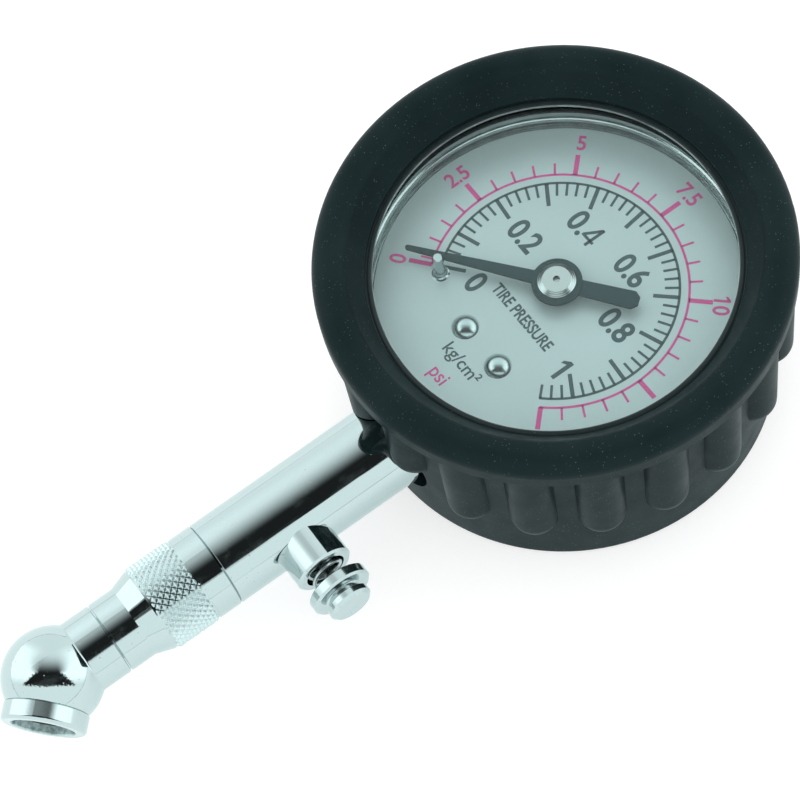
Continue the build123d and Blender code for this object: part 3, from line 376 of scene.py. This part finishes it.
# A paler copy of the seal rubber for the chuck gasket: its lighter colour is painted light inside
# the mouth.
MOUTH_RUBBER_PAINTED_LIGHT = rubber_material("mouth_rubber_painted_light_look", (0.05, 0.065, 0.065), (0.1, 0.125, 0.125), 0)
ARBOR_STEEL = machined_material("arbor_steel_look", (0.5, 0.52, 0.53), 0.25, 2500, (1, 1, 0.2))
SPRING_STEEL = machined_material("spring_steel_look", (0.55, 0.6, 0.6), 0.2, 1800)
MOVEMENT_BRASS = machined_material(
    "movement_brass_look", (0.72, 0.52, 0.22), 0.28, 1200, (1, 0.1, 1)
)
TUBE_BRONZE = machined_material("tube_bronze_look", (0.62, 0.38, 0.2), 0.3, 1500, (1, 1, 0.1))
SOCKET_BRASS = machined_material("socket_brass_look", (0.7, 0.52, 0.24), 0.3, 1500, (0.2, 1, 1))
DIAL_PAINT = paint_material("dial_paint_look", (0.53, 0.595, 0.6), 0.42, flake=0.25)
POINTER_PAINT = paint_material(
    "pointer_paint_look", (0.024, 0.05, 0.055), 0.5, speck=0.1, shine=0.12
)
DARK_INK = ink_material("dark_ink_look", (0.04, 0.078, 0.085))
RED_INK = ink_material("red_ink_look", (0.66, 0.06, 0.27))
LENS_CLEAR = lens_material("lens_clear_look")

LOOKS = {
    "boot_rubber": BOOT_RUBBER,
    "seal_rubber": SEAL_RUBBER,
    "case_steel": CASE_STEEL,
    "bezel_enamel": BEZEL_ENAMEL,
    "lens_clear": LENS_CLEAR,
    "dial_paint": DIAL_PAINT,
    "pointer_paint": POINTER_PAINT,
    "screw_steel": SCREW_STEEL,
    "movement_brass": MOVEMENT_BRASS,
    "arbor_steel": ARBOR_STEEL,
    "spring_steel": SPRING_STEEL,
    "tube_bronze": TUBE_BRONZE,
    "socket_brass": SOCKET_BRASS,
    "arm_chrome": ARM_CHROME,
}


def dress(node, look):
    """Put one material on every slot of a CAD node."""
    materials = NODES[node].data.materials
    for index in range(len(materials)):
        materials[index] = look


for part in frame["record"]["subparts"]:
    dress(part["node"], LOOKS[part["material_slot"]])

# The mouth's axis leaves the ball's centre, bent away from the arm and swivelled round it.
BALL_CENTRE, MOUTH_BORE_R = Vector((0, -84.16 * MM, ARM_Z * MM)), 4.2
MOUTH_BEND, MOUTH_SWIVEL = radians(45), radians(-9)
MOUTH_AXIS = Vector(
    (
        sin(MOUTH_BEND) * cos(MOUTH_SWIVEL),
        -cos(MOUTH_BEND),
        sin(MOUTH_BEND) * sin(MOUTH_SWIVEL),
    )
)
into_ring = NODES["mouth_ring"].matrix_world.inverted()
MOUTH_CHROME = mouth_material(
    "mouth_chrome_look",
    CHROME_TINT,
    into_ring @ BALL_CENTRE,
    into_ring.to_3x3() @ MOUTH_AXIS,
    MOUTH_BORE_R,
)
OWN_LOOKS = {
    "pointer_cap": CAP_STEEL,
    "mouth_ring": MOUTH_CHROME,
    "release_button": SATIN_CHROME,
    "swivel_spindle": PLAIN_STEEL,
    "chuck_gasket": MOUTH_RUBBER_PAINTED_LIGHT,
}
for node, look in OWN_LOOKS.items():
    dress(node, look)


# ------------------------------------------------------------ dial print
def psi_angle(psi):
    """Where a pressure in psi stands on the dial, in degrees anticlockwise from +X."""
    return 225.2 - 17.96 * psi


def kg_angle(kg):
    """Where a pressure in kg/cm2 stands on the dial, in degrees anticlockwise from +X."""
    return 225.1 - 254.9 * kg


class Ink:
    """Flat printed shapes of one colour, gathered into one thin mesh."""

    def __init__(self):
        self.vertices, self.faces = [], []

    def slab(self, outline):
        """A thin slab with a convex outline given anticlockwise."""
        first, count = len(self.vertices), len(outline)
        for z in (DIAL_TOP - INK_SUNK, DIAL_TOP + INK_THICK):
            self.vertices += [(x, y, z) for x, y in outline]
        top = [first + count + i for i in range(count)]
        bottom = [first + i for i in range(count)]
        self.faces += [top, bottom[::-1]]
        for i in range(count):
            j = (i + 1) % count
            self.faces.append((bottom[i], bottom[j], top[j], top[i]))

    def tick(self, inner, outer, angle, width):
        """A scale mark between two radii."""
        across = polar(width / 2, angle + 90)
        a, b = polar(inner, angle), polar(outer, angle)
        self.slab(
            [
                (a[0] - across[0], a[1] - across[1]),
                (b[0] - across[0], b[1] - across[1]),
                (b[0] + across[0], b[1] + across[1]),
                (a[0] + across[0], a[1] + across[1]),
            ]
        )

    def arc(self, radius, width, start, end):
        """A ring sector with one closed skin."""
        steps = max(2, int(abs(end - start) / 2))
        first = len(self.vertices)
        for i in range(steps + 1):
            angle = start + (end - start) * i / steps
            for r, z in (
                (radius - width / 2, DIAL_TOP - INK_SUNK),
                (radius + width / 2, DIAL_TOP - INK_SUNK),
                (radius + width / 2, DIAL_TOP + INK_THICK),
                (radius - width / 2, DIAL_TOP + INK_THICK),
            ):
                self.vertices.append((*polar(r, angle), z))
        for i in range(steps):
            a, b = first + 4 * i, first + 4 * i + 4
            for k in range(4):
                m = (k + 1) % 4
                self.faces.append((a + k, a + m, b + m, b + k))
        self.faces.append((first + 3, first + 2, first + 1, first))
        last = first + 4 * steps
        self.faces.append((last, last + 1, last + 2, last + 3))

    def piece(self, name, material):
        made = mesh_piece(name, self.vertices, self.faces, "gauge")
        made.data.materials.append(material)
        return made


# Both scales start together at ZERO_ANGLE. The psi marks stand outside their arc, and the kg/cm2
# marks inside theirs; radii and line widths are in millimetres.
ZERO_ANGLE = 219.0
PSI_R, PSI_MAJOR_R, PSI_MINOR_R = 17.6, 20.8, 19.4
PSI_ARC_WIDTH, PSI_MAJOR_WIDTH, PSI_MINOR_WIDTH = 0.34, 0.66, 0.32
KG_R, KG_MAJOR_R, KG_MINOR_R = 16.3, 12.8, 14.3
KG_ARC_WIDTH, KG_MAJOR_WIDTH, KG_MINOR_WIDTH = 0.36, 0.56, 0.36
PSI_FULL, KG_FULL = 15, 1.06

psi_scale = Ink()
psi_scale.arc(PSI_R, PSI_ARC_WIDTH, psi_angle(PSI_FULL) - 0.6, ZERO_ANGLE)
for half in range(2 * PSI_FULL + 1):
    angle = min(psi_angle(half / 2), ZERO_ANGLE)
    if half % 5 == 0:
        psi_scale.tick(PSI_R, PSI_MAJOR_R, angle, PSI_MAJOR_WIDTH)
    else:
        psi_scale.tick(PSI_R, PSI_MINOR_R, angle, PSI_MINOR_WIDTH)
psi_scale.piece("psi_scale", RED_INK)

kg_scale = Ink()
kg_scale.arc(KG_R, KG_ARC_WIDTH, kg_angle(KG_FULL) - 0.5, ZERO_ANGLE)
for hundredth in range(6, round(100 * KG_FULL) + 1, 2):
    angle = kg_angle(hundredth / 100)
    if hundredth % 10 == 0:
        kg_scale.tick(KG_MAJOR_R, KG_R, angle, KG_MAJOR_WIDTH)
    else:
        kg_scale.tick(KG_MINOR_R, KG_R, angle, KG_MINOR_WIDTH)
kg_scale.tick(KG_MAJOR_R, KG_R, ZERO_ANGLE, KG_MAJOR_WIDTH)
kg_scale.piece("kg_scale", DARK_INK)


# The stroke that leads up to the top of a 1, from the character's left edge and top, in font units
FLAG = ((0.02, 0.0), (-0.17, -0.14), (-0.17, -0.25), (0.02, -0.15))


def text_piece(name, words, cap_height, centre, angle, narrow, bold, material):
    """Printed characters of a given cap height, centred on a point and turned by some degrees."""
    curve = bpy.data.curves.new(name, "FONT")
    curve.body = words
    curve.offset = bold
    curve.resolution_u = 6
    probe = bpy.data.objects.new(name + "_probe", curve)
    bpy.context.scene.collection.objects.link(probe)
    bpy.context.view_layer.update()
    depsgraph = bpy.context.evaluated_depsgraph_get()
    flat = bpy.data.meshes.new_from_object(probe.evaluated_get(depsgraph))
    bpy.data.objects.remove(probe)
    points = np.array([v.co for v in flat.vertices])
    faces = [tuple(p.vertices) for p in flat.polygons]
    if words.startswith("1"):
        left, top = points[:, 0].min(), points[:, 1].max()
        faces.append(tuple(range(len(points), len(points) + 4)))
        points = np.vstack([points, [(left + x, top + y, 0) for x, y in FLAG]])
    reference = points[:, 1].max() - max(points[:, 1].min(), -bold)  # descenders left out
    low, high = points.min(0), points.max(0)
    scale = cap_height / reference
    points[:, 0] = (points[:, 0] - (low[0] + high[0]) / 2) * scale * narrow
    points[:, 1] = (points[:, 1] - (low[1] + high[1]) / 2) * scale
    c, s = cos(radians(angle)), sin(radians(angle))
    placed = [
        (centre[0] + c * x - s * y, centre[1] + s * x + c * y, DIAL_TOP + INK_THICK)
        for x, y, _ in points
    ]
    piece = mesh_piece(name, placed, faces, "gauge")
    bpy.context.view_layer.objects.active = piece
    solid = piece.modifiers.new("thickness", "SOLIDIFY")
    solid.thickness = 0.04 * MM
    solid.offset = -1
    piece.data.materials.append(material)
    return piece


# psi numbers stand on a ring outside their marks, each off it by a small shift in millimetres.
PSI_LABEL_R = 22.4
PSI_LABEL_SHIFTS = {
    "2.5": (-0.18, -0.28),
    "5": (-0.03, 0.39),
    "7.5": (-0.18, 0.14),
    "10": (0.0, -0.57),
}
text_piece("psi_0", "0", 2.35, (-17.34, -14.16), ZERO_ANGLE - 90, 0.9, 0.02, RED_INK)
for words, (shift_x, shift_y) in PSI_LABEL_SHIFTS.items():
    label_angle = psi_angle(float(words))
    x, y = polar(PSI_LABEL_R, label_angle)
    name = "psi_" + words.replace(".", "_")
    centre = (x + shift_x, y + shift_y)
    text_piece(name, words, 2.3, centre, label_angle - 90, 0.92, 0.02, RED_INK)

# kg/cm2 numbers stand upright at these centres. The 4 of 0.4 is drawn below, from strokes.
KG_LABELS = {
    "0": (-7.7, -7.98),
    "0.2": (-9.2, 1.4),
    "0.": (-6.25, 8.5),
    "0.6": (4.0, 9.4),
    "0.8": (9.23, 2.84),
    "1": (9.75, -6.83),
}
for words, centre in KG_LABELS.items():
    text_piece("kg_" + words.replace(".", "_"), words, 3.46, centre, 0, 0.87, 0.026, DARK_INK)

FOUR_CENTRE = (-3.6, 8.5)
FOUR_STROKES = (
    [(0.3, -1.73), (0.75, -1.73), (0.75, 1.73), (0.3, 1.73)],
    [(-1.1, -0.98), (1.12, -0.98), (1.12, -0.56), (-1.1, -0.56)],
    [(-1.1, -0.62), (-0.58, -0.62), (0.5, 1.2), (0.5, 1.73), (0.3, 1.73)],
)
four = Ink()
for stroke in FOUR_STROKES:
    four.slab([(FOUR_CENTRE[0] + x, FOUR_CENTRE[1] + y) for x, y in stroke])
four.piece("kg_four", DARK_INK)
text_piece("unit_kg_cm2", "kg/cm²", 1.9, (0.94, -16.82), 0, 0.98, 0.01, DARK_INK)
text_piece("unit_psi", "psi", 1.9, (0.47, -20.35), 0, 0.92, 0.01, RED_INK)
text_piece("dial_words", "TIRE PRESSURE", 1.75, (0.4, -6.2), 0, 0.78, 0.025, DARK_INK)


# ------------------------------------------------------------ knurl
def knurl():
    """Diamond knurl round the sleeve: crossing helical grooves that leave rounded pyramids."""
    starts, around, along = 34, 544, 96
    low, high, inside, root, rise = 61.45, 68.65, 5.9, 6.0, 0.42
    row = 1.15  # mm along the sleeve from one ring of diamonds to the next
    vertices, faces = [], []
    for j in range(along + 1):
        y = low + (high - low) * j / along
        for i in range(around):
            turn = i / around
            ragged = 0.25 * sin(2 * pi * 11 * turn) + 0.2 * sin(2 * pi * 23 * turn + 1.3)
            edge = max(0.0, min(1.0, (min(y - low, high - y) - 0.2 - 0.4 * ragged) / 0.35))
            edge = 0.0 if j in (0, along) else edge
            a = starts * turn + (y - low) / row
            b = starts * turn - (y - low) / row
            ridge_a = 1 - abs(2 * (a % 1) - 1)
            ridge_b = 1 - abs(2 * (b % 1) - 1)
            peak = min(ridge_a, ridge_b)
            r = root + rise * edge * min(1.0, 1.25 * peak) * (1 - 0.12 * peak)
            vertices.append((r * cos(2 * pi * turn), -y, ARM_Z + r * sin(2 * pi * turn)))
    for y in (high, low):
        for i in range(around):
            turn = i / around
            x, z = polar(inside, 360 * turn)
            vertices.append((x, -y, ARM_Z + z))
    rows = along + 3
    for j in range(rows):
        k = (j + 1) % rows
        for i in range(around):
            m = (i + 1) % around
            faces.append((j * around + i, k * around + i, k * around + m, j * around + m))
    piece = mesh_piece("knurl", vertices, faces, "gauge", smooth=True)
    piece.data.materials.append(KNURL_CHROME)
    return piece


knurl()


# ------------------------------------------------------------ copies of the springs and tube
def free_copy(node, name):
    """A copy of a CAD node that stands for it, with the node itself hidden."""
    piece = NODES[node].copy()
    piece.data = NODES[node].data.copy()
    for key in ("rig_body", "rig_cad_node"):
        del piece[key]
    piece.name = name
    piece.parent = None
    bpy.context.scene.collection.objects.link(piece)
    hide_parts(node)
    return piece


def closing_spring(node):
    """A copy of a coil that rides on the gauge body, with a mesh of its own."""
    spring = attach(free_copy(node, node + "_coil"), "gauge")
    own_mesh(spring)


closing_spring("button_spring")
closing_spring("hold_valve_spring")


# The tube is copied, with its placement baked into its mesh.
tube = free_copy("bourdon_tube", "bending_tube")
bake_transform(tube)


# ------------------------------------------------------------ floor, light and camera
FLOOR_REACH = 3
floor_corners = [
    (FLOOR_REACH * x, FLOOR_REACH * y, 0) for x, y in ((-1, -1), (1, -1), (1, 1), (-1, 1))
]
floor_mesh = bpy.data.meshes.new("floor")
floor_mesh.from_pydata(floor_corners, [], [(0, 1, 2, 3)])
floor = bpy.data.objects.new("floor", floor_mesh)
bpy.context.scene.collection.objects.link(floor)
floor_look = Nodes("floor_look")
floor_colour = floor_look.blend(floor_look.noise(3, 2), (0.56, 0.51, 0.51), (0.58, 0.53, 0.53))
seen_directly = floor_look.node("LightPath").outputs["Is Camera Ray"]
glow = floor_look.blend(seen_directly, (0.83, 1, 1), (1, 1, 1))
floor_look.surface(floor_colour, 0.9, Specular_IOR_Level=0.1, Emission_Strength=0.58)
floor_mesh.materials.append(floor_look.material)
floor_look.link(glow, floor_look.shader.inputs["Emission Color"])


def direction(azimuth, elevation):
    """Unit vector towards an azimuth (0 is -Y and 90 is +X) and an elevation, both in degrees."""
    a, e = radians(azimuth), radians(elevation)
    return Vector((sin(a) * cos(e), -cos(a) * cos(e), sin(e)))


WALL_LIGHT = 1.25


def studio_world(back, rolled_right, rolled_up):
    """Studio walls for mirror surfaces, and an even level for matt ones.

    The walls are laid out by the direction halfway between a ray and the way back to the camera,
    which is the way a mirror faces where the camera sees that ray in it. Side and height are that
    halfway direction along the camera's right and up. They are fixed numbers: nothing here reads
    the camera, so the walls stay where they are in other views.
    """
    world = bpy.data.worlds.new("studio")
    bpy.context.scene.world = world
    world.use_nodes = True
    tree = world.node_tree
    tree.nodes.clear()

    def new(kind, **values):
        made = tree.nodes.new("ShaderNode" + kind)
        for key, value in values.items():
            setattr(made, key, value)
        return made

    def vector(operation, a, b=None):
        made = new("VectorMath", operation=operation)
        tree.links.new(a, made.inputs[0])
        if b is not None:
            made.inputs[1].default_value = b
        return made.outputs["Value" if operation == "DOT_PRODUCT" else "Vector"]

    def step(value, low, high, to_low=0.0, to_high=1.0):
        made = new("MapRange", interpolation_type="SMOOTHSTEP")
        for key, number in zip(RANGE_SOCKETS, (low, high, to_low, to_high)):
            if isinstance(number, (int, float)):
                made.inputs[key].default_value = number
            else:
                tree.links.new(number, made.inputs[key])
        tree.links.new(value, made.inputs["Value"])
        return made.outputs["Result"]

    def combine(operation, a, b):
        made = new("Math", operation=operation)
        for socket, value in zip(made.inputs, (a, b)):
            if isinstance(value, (int, float)):
                socket.default_value = value
            else:
                tree.links.new(value, socket)
        return made.outputs["Value"]

    def line(value, slope, start):
        return combine("ADD", combine("MULTIPLY", value, slope), start)

    def between(factor, a, b):
        """a where the factor is 0 and b where it is 1."""
        of_a = combine("MULTIPLY", a, line(factor, -1, 1))
        return combine("ADD", of_a, combine("MULTIPLY", b, factor))

    place = new("TexCoord").outputs["Generated"]
    halfway = vector("NORMALIZE", vector("ADD", place, back))
    ragged = new("TexNoise")
    ragged.inputs["Scale"].default_value = 16
    ragged.inputs["Detail"].default_value = 7
    ragged.inputs["Roughness"].default_value = 0.65
    tree.links.new(place, ragged.inputs["Vector"])
    across = combine("ADD", vector("DOT_PRODUCT", halfway, rolled_right), 0.02)
    side = combine("ABSOLUTE", across, 0)
    height = vector("DOT_PRODUCT", halfway, rolled_up)

    # An open wall with a ragged roof line, and a darker stand that brightens towards its top
    fray = line(ragged.outputs["Fac"], 0.26, -0.13)
    frayed = combine("ADD", combine("ADD", side, height), fray)
    roof = step(frayed, 0.36, 0.42)
    walls = step(side, line(height, -0.3, 0.215), line(height, 0.5, 0.305))
    open_wall = between(step(height, 0.1, 0.2), roof, walls)
    stand = line(step(height, 0.13, 0.5), 1.16, 0.02)
    bright = combine("MULTIPLY", step(height, -0.12, 0.08), step(height, 0.5, 0.68, 1.0, 0.0))
    studio = between(open_wall, stand, line(bright, 0.55, WALL_LIGHT))
    edge = combine("ADD", height, line(ragged.outputs["Fac"], 0.2, -0.1))
    seen = between(step(edge, -0.115, -0.095), WALL_LIGHT, studio)

    # A faint dark line along the horizon, and then the even level for diffuse rays
    horizon = vector("DOT_PRODUCT", place, (0, 0, 1))
    above = step(horizon, 0.01, 0.05, 1.0, 0.0)
    far_line = combine("MULTIPLY", step(horizon, -0.02, -0.005), above)
    broken = step(ragged.outputs["Fac"], 0.35, 0.6, 0.08, 0.4)
    seen = combine("MULTIPLY", seen, line(combine("MULTIPLY", far_line, broken), -1, 1))
    lit = new("LightPath").outputs["Is Diffuse Ray"]
    level = new("Mix", data_type="FLOAT")
    tree.links.new(lit, level.inputs[0])
    tree.links.new(seen, level.inputs[2])
    level.inputs[3].default_value = WALL_LIGHT
    background = new("Background")
    background.inputs["Color"].default_value = (0.89, 0.99, 1.0, 1)
    tree.links.new(level.outputs[0], background.inputs["Strength"])
    output = new("OutputWorld")
    tree.links.new(background.outputs["Background"], output.inputs["Surface"])


LAMP_TARGET = Vector((0, -0.02, 0))


def softbox(name, azimuth, elevation, distance, size, power):
    """A round soft lamp aimed at the gauge, which mirror surfaces don't show."""
    lamp = bpy.data.lights.new(name, "AREA")
    lamp.shape = "DISK"
    lamp.size = size
    lamp.energy = power
    holder = bpy.data.objects.new(name, lamp)
    bpy.context.scene.collection.objects.link(holder)
    back = direction(azimuth, elevation)
    holder.location = LAMP_TARGET + back * distance
    holder.rotation_euler = (-back).to_track_quat("-Z", "Y").to_euler()
    holder.visible_glossy = False


softbox("top_softbox", azimuth=235, elevation=62, distance=0.7, size=0.35, power=0.3)

CAMERA_AZIMUTH, CAMERA_ELEVATION, CAMERA_ROLL = 67.863, 63.989, -14.730
CAMERA_DISTANCE, CAMERA_TARGET = 0.383145, Vector((-0.009944, -0.022129, 0))
FOCAL_PIXELS, IMAGE_PIXELS, SENSOR_MM = 2704.641, 800, 36.0

camera_data = bpy.data.cameras.new("camera")
camera_data.sensor_width = SENSOR_MM
camera_data.lens = FOCAL_PIXELS / IMAGE_PIXELS * SENSOR_MM
camera_data.clip_start, camera_data.clip_end = 0.01, 20
camera = bpy.data.objects.new("camera", camera_data)
bpy.context.scene.collection.objects.link(camera)
back = direction(CAMERA_AZIMUTH, CAMERA_ELEVATION)
right = (-back).cross(Vector((0, 0, 1))).normalized()
up = right.cross(-back)
roll = radians(CAMERA_ROLL)
rolled_right = right * cos(roll) + up * sin(roll)
rolled_up = up * cos(roll) - right * sin(roll)
camera.matrix_world = Matrix.Translation(CAMERA_TARGET + back * CAMERA_DISTANCE) @ (
    Matrix((rolled_right, rolled_up, back)).transposed().to_4x4()
)
bpy.context.scene.camera = camera

studio_world(back, rolled_right, rolled_up)
bpy.context.scene.view_settings.view_transform = "Standard"
